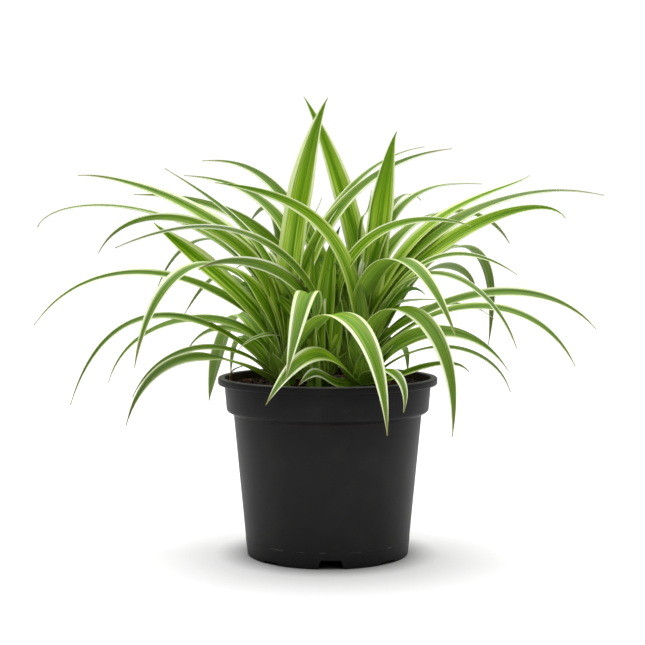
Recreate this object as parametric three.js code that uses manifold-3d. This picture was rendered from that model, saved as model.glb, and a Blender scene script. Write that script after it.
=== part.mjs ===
// Potted spider plant: a moulded nursery pot, its potting soil, and five crowns of striped strap leaves.
// Millimetres, +Z up. The origin is on the surface that the pot stands on, on the pot's axis.
// Azimuths are degrees counterclockwise from +X, and -Y is the front.

import * as THREE from "three";
import { mergeVertices } from "three/addons/utils/BufferGeometryUtils.js";
import Module from "manifold-3d";

// ---------------------------------------------------------------- driving dimensions

const GAP = 0.3; // clearance between touching solids
const OVERCUT = 1; // how far a cut runs past the face that it opens
const WELD = 1e-4; // points closer than this are one point

const POT = {
  height: 121.4,
  lipRadius: 75,
  lipHeight: 4.9,
  lipRound: 0.7,
  mouthRadius: 70.4,
  collarTopRadius: 70.6,
  collarFootRadius: 69.2,
  collarFoot: 97.6, // height of the band's lower edge
  collarRound: 2.6,
  bodyTopRadius: 64.3,
  bodyTop: 95.6,
  footRadius: 55.4,
  footWidth: 3.4, // the ring that the pot stands on
  footEase: 0.6, // chamfer on the ring's outer edge
  floorEase: 1.2, // chamfer between the floor and the wall, inside
  footRise: 6.6, // from the ground to the underside of the floor
  floorTop: 8.2,
  wall: 1.4,
  sides: 44,
};

// Drain notches and slits in the foot ring. Each is cut from inside the ring to just outside it.
const NOTCH = { count: 4, bottomWidth: 18, topWidth: 14, height: 6, azimuth: 272 };
const SLIT = { count: 4, bottomWidth: 12.6, topWidth: 12.6, height: 1.8, azimuth: 317 };
const RING_CUT = { inner: 46, outer: 58.4 };
const DRAIN = { count: 8, radius: 4.5, ring: 39, sides: 12 };

const SOIL = {
  edgeHeight: 113.6,
  moundHeight: 117.2,
  moundRadius: 22, // where the mound starts to fall towards the wall
  lumps: 0.54,
  rimClear: 0.9, // between the soil's edge and the pot's wall
  sides: 44,
  rings: 4,
};

const STEM = {
  radius: 8.2,
  foot: 101,
  shoulder: 122,
  neck: 138,
  neckRadius: 6.2,
  top: 142,
  topRadius: 4.6,
  crest: 143,
  holeDepth: 30,
  sides: 12,
};

// A leaf is a strap with a shallow V section. Its midrib is a cubic curve in an upright plane
// through its crown.
const BLADE = {
  rootHeight: 119, // where the midrib starts, inside the stem
  rootRise: 4, // how much higher the innermost leaf starts
  rootOffset: 6.5, // how far from the crown's axis the outermost leaf starts
  rootSpread: 9, // how much further back the innermost leaf starts
  rootShare: 0.45, // width at the root, as a share of the full width
  fullAt: 0.36, // share of the length where the blade is at its widest
  taperFrom: 0.34, // share of the length where it starts to narrow
  tipWidth: 1.3,
  thickness: 0.85,
  edgeThickness: 0.65,
  fold: 0.26, // rise of each edge over the midrib, as a share of the half width
  rootRoll: 0.3, // share of the roll that the root already has
  rollBy: 0.5, // share of the length where the whole roll is reached
  step: 24, // length of blade between two sections, about
  fewestSteps: 5,
  mostSteps: 8,
};

// Each leaf: heading, reach, tip height, first handle (out, height), second handle (out, height),
// width, roll.
// The outermost leaf of a crown comes first. Reach and handles are measured from the crown's axis.
const CROWNS = [
  {
    name: "crown_left",
    x: -30,
    y: -16,
    leaves: [
      [-137, 129, 101, 47, 145, 111, 155, 12, -35],
      [-144, 115, 116, 27, 152, 94, 157, 9, -35],
      [-160, 144, 109, 13, 143, 110, 215, 11, -28],
      [-168, 117, 121, 7, 176, 101, 177, 11, -25],
      [-114, 63, 146, -18, 174, 10, 154, 8, -45],
      [-56, 118, 96, 43, 193, 110, 176, 18, 5],
      [-138, 121, 136, -6, 194, 96, 244, 16, -62],
      [-159, 167, 161, -9, 171, 116, 233, 12, -32],
      [-161, 88, 226, -14, 156, 87, 222, 16, -58],
      [-164, 124, 206, -20, 227, 98, 254, 19, -66],
      [-166, 162, 223, -11, 243, 178, 250, 13, -30],
      [178, 138, 258, -20, 225, 110, 261, 17, -42],
      [159, 88, 264, -20, 210, 57, 245, 11, -28],
      [19, 123, 278, 11, 256, 91, 274, 13, 32],
      [27, 110, 280, 13, 247, 77, 275, 10, 12],
      [124, 52, 176, 0, 190, 34, 208, 12, -20],
      [54, 44, 244, 25, 238, 33, 224, 7, -40],
      [31, 35, 311, -15, 246, 43, 319, 17, 58],
    ],
  },
  {
    name: "crown_right",
    x: 22,
    y: -20,
    leaves: [
      [-127, 67, 124, 48, 119, 43, 139, 9, -45],
      [-72, 80, 108, 17, 134, 98, 140, 11, 0],
      [-42, 90, 132, 21, 118, 79, 147, 9, 30],
      [-33, 111, 119, 42, 158, 100, 151, 9, 30],
      [-125, 105, 114, 17, 118, 44, 173, 16, -42],
      [-57, 100, 94, -2, 196, 111, 184, 15, 8],
      [-19, 144, 134, 19, 170, 112, 198, 13, 30],
      [-4, 156, 156, -11, 150, 104, 215, 12, 30],
      [18, 98, 160, 12, 165, 69, 185, 9, 15],
      [30, 72, 173, 3, 173, 26, 176, 10, 2],
      [-57, 103, 156, -20, 179, 42, 249, 18, 0],
      [-34, 116, 147, 17, 228, 97, 196, 12, 44],
      [-32, 114, 193, 1, 163, 47, 235, 10, 44],
      [-6, 135, 229, -3, 202, 127, 256, 16, 34],
      [5, 166, 245, -13, 170, 82, 264, 14, 26],
      [15, 121, 259, 7, 239, 102, 245, 12, 16],
      [32, 102, 254, 3, 244, 44, 255, 11, 5],
      [-152, 106, 251, 0, 206, 24, 243, 16, -68],
      [76, 42, 188, 0, 190, 28, 208, 12, 10],
      [39, 32, 288, -8, 158, 38, 323, 17, 24],
      [-12, 74, 224, -42, 190, 10, 244, 12, 42],
    ],
  },
  {
    name: "crown_front",
    x: -6,
    y: -28,
    leaves: [
      [-107, 69, 129, -4, 212, 16, 205, 15, 0],
      [-144, 93, 196, -20, 204, 80, 209, 13, -62],
      [-156, 139, 210, -20, 154, 10, 257, 12, -45],
      [84, 34, 196, -2, 168, 20, 196, 10, -20],
    ],
  },
  {
    name: "crown_back_left",
    x: -24,
    y: 33,
    leaves: [
      [130, 75, 114, 28, 130, 71, 172, 11, -10],
      [130, 103, 92, 36, 118, 63, 226, 13, -10],
      [96, 78, 120, 20, 160, 68, 180, 13, 0],
      [175, 78, 132, 15, 150, 62, 168, 10, -25],
      [141, 108, 158, 46, 179, 59, 219, 11, 0],
      [146, 126, 177, 6, 220, 94, 245, 12, 0],
      [108, 76, 172, 0, 205, 58, 226, 14, 0],
      [171, 116, 247, -20, 181, 10, 246, 12, -40],
      [117, 76, 227, 24, 236, 31, 254, 10, 20],
      [84, 68, 214, -8, 214, 44, 246, 13, 0],
      [161, 84, 261, -20, 211, 10, 255, 14, -25],
      [-80, 20, 266, -6, 205, 14, 250, 12, 0],
    ],
  },
  {
    name: "crown_back_right",
    x: 26,
    y: 31,
    leaves: [
      [62, 73, 114, 22, 124, 77, 158, 10, 0],
      [22, 116, 118, 20, 153, 82, 163, 11, 20],
      [86, 78, 124, 24, 158, 70, 178, 12, 0],
      [43, 108, 178, 16, 175, 95, 218, 11, 0],
      [38, 122, 135, 38, 219, 142, 252, 13, 20],
      [72, 80, 168, -2, 200, 62, 222, 14, 0],
      [23, 117, 212, -12, 237, 88, 258, 14, 20],
      [100, 70, 190, -4, 222, 50, 236, 12, 0],
      [161, 124, 272, 44, 242, 72, 274, 15, -30],
      [54, 74, 244, -8, 220, 44, 262, 13, 0],
      [67, 13, 250, -20, 280, 2, 206, 7, -30],
      [118, 40, 262, -10, 210, 22, 256, 12, 0],
      [-172, 43, 314, -15, 215, 47, 328, 14, -75],
    ],
  },
];

const COLOURS = { pot: 0x2a2b2c, soil: 0x3a2a1e, leaf: 0x6f9a3c };

// ---------------------------------------------------------------- solids

const wasm = await Module();
wasm.setup();

// A closed mesh as a solid that can be joined and cut.
function toSolid(geometry) {
  const bare = geometry.clone();
  bare.deleteAttribute("normal");
  bare.deleteAttribute("uv");
  const merged = mergeVertices(bare, WELD);
  const index = merged.index.array;
  const triangles = [];
  for (let i = 0; i < index.length; i += 3) {
    const [a, b, c] = [index[i], index[i + 1], index[i + 2]];
    if (a !== b && b !== c && c !== a) triangles.push(a, b, c);
  }
  const mesh = new wasm.Mesh({
    numProp: 3,
    vertProperties: new Float32Array(merged.attributes.position.array),
    triVerts: new Uint32Array(triangles),
  });
  return new wasm.Manifold(mesh);
}

function toGeometry(solid) {
  const mesh = solid.getMesh();
  const geometry = new THREE.BufferGeometry();
  geometry.setAttribute("position", new THREE.BufferAttribute(mesh.vertProperties, 3));
  geometry.setIndex(new THREE.BufferAttribute(mesh.triVerts, 1));
  geometry.computeVertexNormals();
  return geometry;
}

// A profile of [radius, height] points turned about the Z axis.
function turned(profile, sides) {
  const points = profile.map(([radius, height]) => new THREE.Vector2(radius, height));
  return new THREE.LatheGeometry(points, sides).rotateX(Math.PI / 2);
}

// Points of a quarter round from one angle to another, for a profile.
function corner(radius, height, round, from, to, steps = 3) {
  const points = [];
  for (let i = 0; i <= steps; i++) {
    const angle = THREE.MathUtils.degToRad(from + ((to - from) * i) / steps);
    points.push([radius + round * Math.cos(angle), height + round * Math.sin(angle)]);
  }
  return points;
}

// Cuts equal openings through the foot ring, evenly round the pot.
function cutRing(pot, opening) {
  const outline = [
    [-opening.bottomWidth / 2, -OVERCUT],
    [opening.bottomWidth / 2, -OVERCUT],
    [opening.topWidth / 2, opening.height],
    [-opening.topWidth / 2, opening.height],
  ];
  const shape = new THREE.Shape(outline.map(([x, y]) => new THREE.Vector2(x, y)));
  const depth = RING_CUT.outer - RING_CUT.inner;
  for (let i = 0; i < opening.count; i++) {
    const azimuth = opening.azimuth + (360 / opening.count) * i;
    const geometry = new THREE.ExtrudeGeometry(shape, { depth, bevelEnabled: false });
    geometry.rotateX(Math.PI / 2).translate(0, -RING_CUT.inner, 0);
    geometry.rotateZ(THREE.MathUtils.degToRad(azimuth + 90));
    pot = pot.subtract(toSolid(geometry));
  }
  return pot;
}

// ---------------------------------------------------------------- pot

function potProfile() {
  const { lipRound, collarRound, height, wall, floorEase } = POT;
  const lipFoot = height - POT.lipHeight;
  return [
    [0, POT.footRise],
    [POT.footRadius - POT.footWidth - POT.footEase, POT.footRise],
    [POT.footRadius - POT.footWidth, POT.footRise - POT.footEase],
    [POT.footRadius - POT.footWidth, 0],
    [POT.footRadius - POT.footEase, 0],
    [POT.footRadius, POT.footEase],
    [POT.bodyTopRadius, POT.bodyTop],
    ...corner(POT.collarFootRadius - collarRound, POT.collarFoot + collarRound, collarRound, -80, -4, 2),
    [POT.collarTopRadius, lipFoot],
    ...corner(POT.lipRadius - lipRound, lipFoot + lipRound, lipRound, -90, 0, 1),
    ...corner(POT.lipRadius - lipRound, height - lipRound, lipRound, 0, 90, 2),
    ...corner(POT.mouthRadius + lipRound, height - lipRound, lipRound, 90, 180, 1),
    [POT.mouthRadius - wall, lipFoot],
    [POT.collarFootRadius - wall, POT.collarFoot + wall],
    [POT.bodyTopRadius - wall, POT.bodyTop - wall],
    [POT.footRadius - wall, POT.floorTop + floorEase],
    [POT.footRadius - wall - floorEase, POT.floorTop],
    [0, POT.floorTop],
  ];
}

function buildPot() {
  const turnedPot = toSolid(turned(potProfile(), POT.sides));
  let pot = cutRing(cutRing(turnedPot, NOTCH), SLIT);
  const depth = POT.floorTop - POT.footRise + 2 * OVERCUT;
  for (let i = 0; i < DRAIN.count; i++) {
    const angle = (2 * Math.PI * (i + 0.5)) / DRAIN.count;
    const hole = new THREE.CylinderGeometry(DRAIN.radius, DRAIN.radius, depth, DRAIN.sides);
    const middle = (POT.floorTop + POT.footRise) / 2;
    hole.rotateX(Math.PI / 2);
    hole.translate(DRAIN.ring * Math.cos(angle), DRAIN.ring * Math.sin(angle), middle);
    pot = pot.subtract(toSolid(hole));
  }
  return pot;
}

// ---------------------------------------------------------------- soil

// Height of the soil's lumpy surface over a point.
function soilHeight(x, y) {
  const radius = Math.hypot(x, y);
  const rise = 1 - THREE.MathUtils.smoothstep(radius, SOIL.moundRadius, POT.mouthRadius);
  const lumps = Math.sin(x * 0.21 + 1.3) * Math.cos(y * 0.17 - 0.4) + 0.5 * Math.sin(x * 0.43 - y * 0.37);
  return SOIL.edgeHeight + (SOIL.moundHeight - SOIL.edgeHeight) * rise + SOIL.lumps * lumps;
}

function buildSoil() {
  const top = [];
  const edge = POT.mouthRadius - POT.wall - SOIL.rimClear;
  for (let i = 0; i < SOIL.rings; i++) {
    top.push([edge * (1 - i / SOIL.rings), SOIL.moundHeight]);
  }
  const inset = POT.wall + GAP;
  const profile = [
    [0, POT.floorTop + GAP],
    [POT.footRadius - inset - POT.floorEase, POT.floorTop + GAP],
    [POT.footRadius - inset, POT.floorTop + GAP + POT.floorEase],
    [POT.bodyTopRadius - inset, POT.bodyTop - POT.wall],
    [POT.collarFootRadius - inset, POT.collarFoot + inset],
    ...top,
    [0, SOIL.moundHeight],
  ];
  const geometry = turned(profile, SOIL.sides);
  const position = geometry.attributes.position;
  for (let i = 0; i < position.count; i++) {
    if (position.getZ(i) >= SOIL.moundHeight - WELD) {
      position.setZ(i, soilHeight(position.getX(i), position.getY(i)));
    }
  }
  let soil = toSolid(geometry);
  for (const crown of CROWNS) {
    const radius = STEM.radius + GAP;
    const hole = new THREE.CylinderGeometry(radius, radius, STEM.holeDepth, STEM.sides);
    hole.rotateX(Math.PI / 2).translate(crown.x, crown.y, STEM.foot - GAP + STEM.holeDepth / 2);
    soil = soil.subtract(toSolid(hole));
  }
  return soil;
}

// ---------------------------------------------------------------- leaves

// Half of the blade's width at a share of its length.
function halfWidth(width, share) {
  const rise = BLADE.rootShare + (1 - BLADE.rootShare) * THREE.MathUtils.smoothstep(share, 0, BLADE.fullAt);
  const narrowing = Math.max(0, (share - BLADE.taperFrom) / (1 - BLADE.taperFrom));
  return Math.max(BLADE.tipWidth / 2, (width / 2) * rise * (1 - narrowing * narrowing));
}

// How much of the blade's roll a share of its length has.
function rollShare(share) {
  return BLADE.rootRoll + (1 - BLADE.rootRoll) * THREE.MathUtils.smoothstep(share, 0, BLADE.rollBy);
}

// The midrib's curve. order runs from 0 for a crown's outermost leaf to 1 for its innermost.
function midrib(crown, leaf, order) {
  const [heading, reach, tipHeight, out1, height1, out2, height2] = leaf;
  const angle = THREE.MathUtils.degToRad(heading);
  const at = (out, height) =>
    new THREE.Vector3(crown.x + out * Math.cos(angle), crown.y + out * Math.sin(angle), height);
  const start = at(BLADE.rootOffset - BLADE.rootSpread * order, BLADE.rootHeight + BLADE.rootRise * order);
  return new THREE.CubicBezierCurve3(start, at(out1, height1), at(out2, height2), at(reach, tipHeight));
}

// A leaf's blade, cut into sections along its midrib.
function bladeGeometry(crown, leaf, order) {
  const [heading, , , , , , , width, roll] = leaf;
  const curve = midrib(crown, leaf, order);
  const wanted = Math.round(curve.getLength() / BLADE.step);
  const steps = THREE.MathUtils.clamp(wanted, BLADE.fewestSteps, BLADE.mostSteps);
  const angle = THREE.MathUtils.degToRad(heading);
  const across = new THREE.Vector3(-Math.sin(angle), Math.cos(angle), 0);
  const positions = [];
  for (let i = 0; i <= steps; i++) {
    const share = i / steps;
    const centre = curve.getPointAt(share);
    const along = curve.getTangentAt(share);
    const up = new THREE.Vector3().crossVectors(along, across);
    const turn = THREE.MathUtils.degToRad(roll * rollShare(share));
    const side = across.clone().multiplyScalar(Math.cos(turn)).addScaledVector(up, Math.sin(turn));
    const face = new THREE.Vector3().crossVectors(along, side);
    const half = halfWidth(width, share);
    const rise = BLADE.fold * (half - BLADE.tipWidth / 2);
    const corners = [
      [-half, rise],
      [0, 0],
      [half, rise],
      [half, rise - BLADE.edgeThickness],
      [0, -BLADE.thickness],
      [-half, rise - BLADE.edgeThickness],
    ];
    for (const [outward, raised] of corners) {
      const point = centre.clone().addScaledVector(side, outward).addScaledVector(face, raised);
      positions.push(point.x, point.y, point.z);
    }
  }
  return strapGeometry(positions, steps + 1);
}

// Triangles between the six corners of one section and the next, split alike on the upper and lower face.
function strapGeometry(positions, sections) {
  const index = [];
  const lower = { 0: 5, 1: 4, 2: 3 };
  for (let i = 0; i < sections - 1; i++) {
    const [a, b] = [i * 6, i * 6 + 6];
    for (const k of [0, 1]) {
      index.push(a + k, b + k + 1, a + k + 1, a + k, b + k, b + k + 1);
      const [p, q] = [lower[k], lower[k + 1]];
      index.push(a + p, a + q, b + q, a + p, b + q, b + p);
    }
    for (const [p, q] of [[2, 3], [5, 0]]) index.push(a + p, b + q, a + q, a + p, b + p, b + q);
  }
  const last = (sections - 1) * 6;
  for (const [p, q, r] of [[0, 4, 1], [0, 5, 4], [1, 4, 2], [2, 4, 3]]) {
    index.push(p, r, q, last + p, last + q, last + r);
  }
  const geometry = new THREE.BufferGeometry();
  geometry.setAttribute("position", new THREE.Float32BufferAttribute(positions, 3));
  geometry.setIndex(index);
  return geometry;
}

// The short fleshy stem that the leaves of a crown grow from. Its foot stands in a hole in the soil.
function stemGeometry(crown) {
  const profile = [
    [0, STEM.foot],
    [STEM.radius, STEM.foot],
    [STEM.radius, STEM.shoulder],
    [STEM.neckRadius, STEM.neck],
    [STEM.topRadius, STEM.top],
    [0, STEM.crest],
  ];
  return turned(profile, STEM.sides).translate(crown.x, crown.y, 0);
}

function bladeSolids(crown) {
  const last = crown.leaves.length - 1;
  return crown.leaves.map((leaf, i) => toSolid(bladeGeometry(crown, leaf, i / last)));
}

// The joined body's outer skin, which fills the small hollows sealed among the leaf roots.
function outerBody(solid) {
  return solid.decompose().reduce((best, piece) => (piece.volume() > best.volume() ? piece : best));
}

function buildCrown(crown) {
  const joined = bladeSolids(crown).reduce((body, blade) => body.add(blade), toSolid(stemGeometry(crown)));
  return outerBody(joined);
}

// ---------------------------------------------------------------- assembly

function named(name, solid, colour, roughness) {
  const material = new THREE.MeshStandardMaterial({ color: colour, roughness, metalness: 0 });
  const mesh = new THREE.Mesh(toGeometry(solid), material);
  mesh.name = name;
  return mesh;
}

const plant = new THREE.Group();
plant.add(named("pot", buildPot(), COLOURS.pot, 0.55));
plant.add(named("soil", buildSoil(), COLOURS.soil, 0.95));
for (const crown of CROWNS) {
  plant.add(named(crown.name, buildCrown(crown), COLOURS.leaf, 0.45));
}

export default plant;
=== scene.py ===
"""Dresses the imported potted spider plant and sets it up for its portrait.

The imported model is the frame. The pot, the potting mix and each crown of leaves are replaced by finer
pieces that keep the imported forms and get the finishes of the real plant. Sizes in this file are in
millimetres, and the meshes are in metres: +Z is up, and the plant is seen from -Y.
"""

from __future__ import annotations

import logging
import math
import random
from collections.abc import Iterable, Sequence
from dataclasses import dataclass
from enum import Enum

import bmesh
import bpy
from mathutils import Matrix, Vector, geometry, noise

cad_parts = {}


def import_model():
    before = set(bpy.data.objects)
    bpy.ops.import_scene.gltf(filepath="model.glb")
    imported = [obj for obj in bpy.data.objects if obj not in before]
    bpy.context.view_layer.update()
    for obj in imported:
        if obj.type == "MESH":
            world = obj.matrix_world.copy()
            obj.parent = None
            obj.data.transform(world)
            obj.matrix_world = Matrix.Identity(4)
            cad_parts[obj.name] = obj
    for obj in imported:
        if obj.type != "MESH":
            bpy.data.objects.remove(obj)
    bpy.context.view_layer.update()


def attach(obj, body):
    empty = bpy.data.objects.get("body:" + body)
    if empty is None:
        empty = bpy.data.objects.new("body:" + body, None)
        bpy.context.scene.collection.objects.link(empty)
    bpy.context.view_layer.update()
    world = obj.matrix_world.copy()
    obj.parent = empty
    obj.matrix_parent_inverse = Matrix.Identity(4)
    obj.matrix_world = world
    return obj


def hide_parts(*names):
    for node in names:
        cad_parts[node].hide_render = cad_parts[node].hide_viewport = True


log = logging.getLogger("spider_plant")

MM = 0.001
TO_METRES = Matrix.Scale(MM, 4)
BODY = "root"
SEED = 11
WELD = 0.002  # points of a spun body that are nearer to each other than this are one

# Vertex attributes that the leaf tissue reads.
PLACE = "blade_place"  # across from -1 to 1, along from 0 to 1, and 1 on the underside
LOOK = "blade_look"  # margin as a share of the half width, freshness, and tone, which also carries painted shade
GRAIN = "blade_grain"  # across in veins, along in streak lengths, and an offset of the leaf's own
ATTRIBUTES = (PLACE, LOOK, GRAIN)

# Sizes that the pot shares with its finish or with the potting mix.
POT_HEIGHT = 121.4
MOUTH_RADIUS = 70.4
MOULD_LINE = 11.0  # height of the line where the mould's base joins its wall

Material = bpy.types.Material
Mesh = bmesh.types.BMesh
Node = bpy.types.Node
Socket = bpy.types.NodeSocket
Tree = bpy.types.NodeTree
Pair = tuple[float, float]
Span = tuple[float, ...]  # for Map Range: from low to high, then to low to high where that isn't 0 to 1


# ---------------------------------------------------------------- helpers


def linear(hex_colour: int) -> tuple[float, float, float, float]:
    """Turns an sRGB hex colour to linear light.

    Args:
        hex_colour: The colour as 0xRRGGBB.

    Returns:
        Red, green, blue and an alpha of 1, for a shader's socket.
    """
    channels = ((hex_colour >> shift & 255) / 255 for shift in (16, 8, 0))
    light = [c / 12.92 if c <= 0.04045 else ((c + 0.055) / 1.055) ** 2.4 for c in channels]
    return (light[0], light[1], light[2], 1.0)


def smooth(value: float, low: float, high: float) -> float:
    """Eases from 0 at low to 1 at high.

    Args:
        value: Where the ease is read.
        low: The value at which it starts.
        high: The value at which it ends.

    Returns:
        The eased share.
    """
    share = min(max((value - low) / (high - low), 0.0), 1.0)
    return share * share * (3 - 2 * share)


def level(angle: float, reach: float = 1.0) -> Vector:
    """A level vector at an angle in radians from +X."""
    return Vector((reach * math.cos(angle), reach * math.sin(angle), 0))


def feed(node: Node, inputs: dict[str, object] | Sequence[object]) -> None:
    """Sets or links the inputs of a shader node.

    Args:
        node: The node.
        inputs: Values, sockets, or nodes whose first live output is meant, by the input's name or in the
            order of the node's live inputs.
    """
    named = isinstance(inputs, dict)
    sockets = [node.inputs[name] for name in inputs] if named else [s for s in node.inputs if s.enabled]
    for socket, value in zip(sockets, inputs.values() if named else inputs):
        if isinstance(value, bpy.types.Node):
            value = next(output for output in value.outputs if output.enabled)
        if isinstance(value, bpy.types.NodeSocket):
            node.id_data.links.new(value, socket)
        else:
            socket.default_value = value


def add(
    tree: Tree, kind: str, inputs: dict[str, object] | Sequence[object] = (), **settings: object
) -> Node:
    """Adds a shader node with its settings and links.

    Args:
        tree: The node tree that takes the node.
        kind: The node's type, without the leading ShaderNode.
        inputs: What feeds its inputs, as feed() takes it.
        **settings: The node's own properties.

    Returns:
        The new node.
    """
    node = tree.nodes.new("ShaderNode" + kind)
    for name, value in settings.items():
        setattr(node, name, value)
    feed(node, inputs)
    return node


def new_material(name: str) -> tuple[Material, Tree, Node]:
    """Makes a material that has only its Principled shader and output.

    Args:
        name: The material's name.

    Returns:
        The material, its node tree and its Principled node.
    """
    material = bpy.data.materials.new(name)
    material.use_nodes = True
    return material, material.node_tree, material.node_tree.nodes["Principled BSDF"]


def new_object(name: str, content: Mesh | bpy.types.ID) -> bpy.types.Object:
    """Makes an object and links it to the scene.

    Args:
        name: The object's name.
        content: Its light or camera, or its finished mesh, which is freed here.

    Returns:
        The new object, at the origin.
    """
    if isinstance(content, bmesh.types.BMesh):
        data = bpy.data.meshes.new(name)
        content.to_mesh(data)
        content.free()
        content = data
    made = bpy.data.objects.new(name, content)
    bpy.context.scene.collection.objects.link(made)
    return made


def place_piece(
    name: str, mesh: Mesh, materials: Iterable[Material], slot: str, sharp_over: float, *replaced: str
) -> bpy.types.Object:
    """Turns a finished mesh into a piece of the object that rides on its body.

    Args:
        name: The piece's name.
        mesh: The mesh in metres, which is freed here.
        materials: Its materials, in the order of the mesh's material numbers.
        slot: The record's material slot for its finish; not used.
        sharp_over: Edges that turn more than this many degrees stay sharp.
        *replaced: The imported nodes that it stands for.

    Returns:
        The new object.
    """
    for face in mesh.faces:
        face.smooth = True
    piece = new_object(name, mesh)
    piece.data.set_sharp_from_angle(angle=math.radians(sharp_over))
    for material in materials:
        piece.data.materials.append(material)
    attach(piece, BODY)
    if replaced:
        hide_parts(*replaced)
    return piece


def merge(mesh: Mesh, part: Mesh) -> None:
    """Adds a small part to a larger mesh.

    Args:
        mesh: The larger mesh.
        part: The part, with the same attributes, which is freed here.
    """
    holder = bpy.data.meshes.new("part")
    part.to_mesh(holder)
    part.free()
    mesh.from_mesh(holder)
    bpy.data.meshes.remove(holder)


def turn_profile(
    mesh: Mesh, profile: Sequence[Pair], steps: int, centre: Vector = Vector()
) -> list[bmesh.types.BMVert]:
    """Spins a profile into a closed body about an upright axis.

    Args:
        mesh: The mesh that takes the body.
        profile: Radius and height of each point in millimetres, from axis to axis.
        steps: How many sides the body has.
        centre: A point on the axis, in millimetres.

    Returns:
        The body's vertices.
    """
    before = set(mesh.verts)
    points = [mesh.verts.new(((centre.x + r) * MM, centre.y * MM, z * MM)) for r, z in profile]
    edges = [mesh.edges.new(pair) for pair in zip(points, points[1:])]
    bmesh.ops.spin(
        mesh,
        geom=points + edges,
        cent=centre * MM,
        axis=(0, 0, 1),
        angle=math.tau,
        steps=steps,
        use_merge=True,
    )
    made = [v for v in mesh.verts if v not in before]
    bmesh.ops.remove_doubles(mesh, verts=made, dist=WELD * MM)
    made = [v for v in mesh.verts if v not in before]
    bmesh.ops.recalc_face_normals(mesh, faces=list({f for v in made for f in v.link_faces}))
    return made


# ---------------------------------------------------------------- finishes


@dataclass(frozen=True)
class BladeSpot:
    """What the leaf tissue reads at a point of a blade."""

    edge: Node  # 0 at the midrib and 1 at the edges
    along: Socket  # 0 at the root and 1 at the tip
    margin: Node  # the cream margin, as a share of the half width
    freshness: Socket  # 0 on a mature leaf and 1 on a young one
    streak: Node  # the fine streak pattern
    bands: Node  # the broad streak pattern
    both: Node  # their sum


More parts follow.
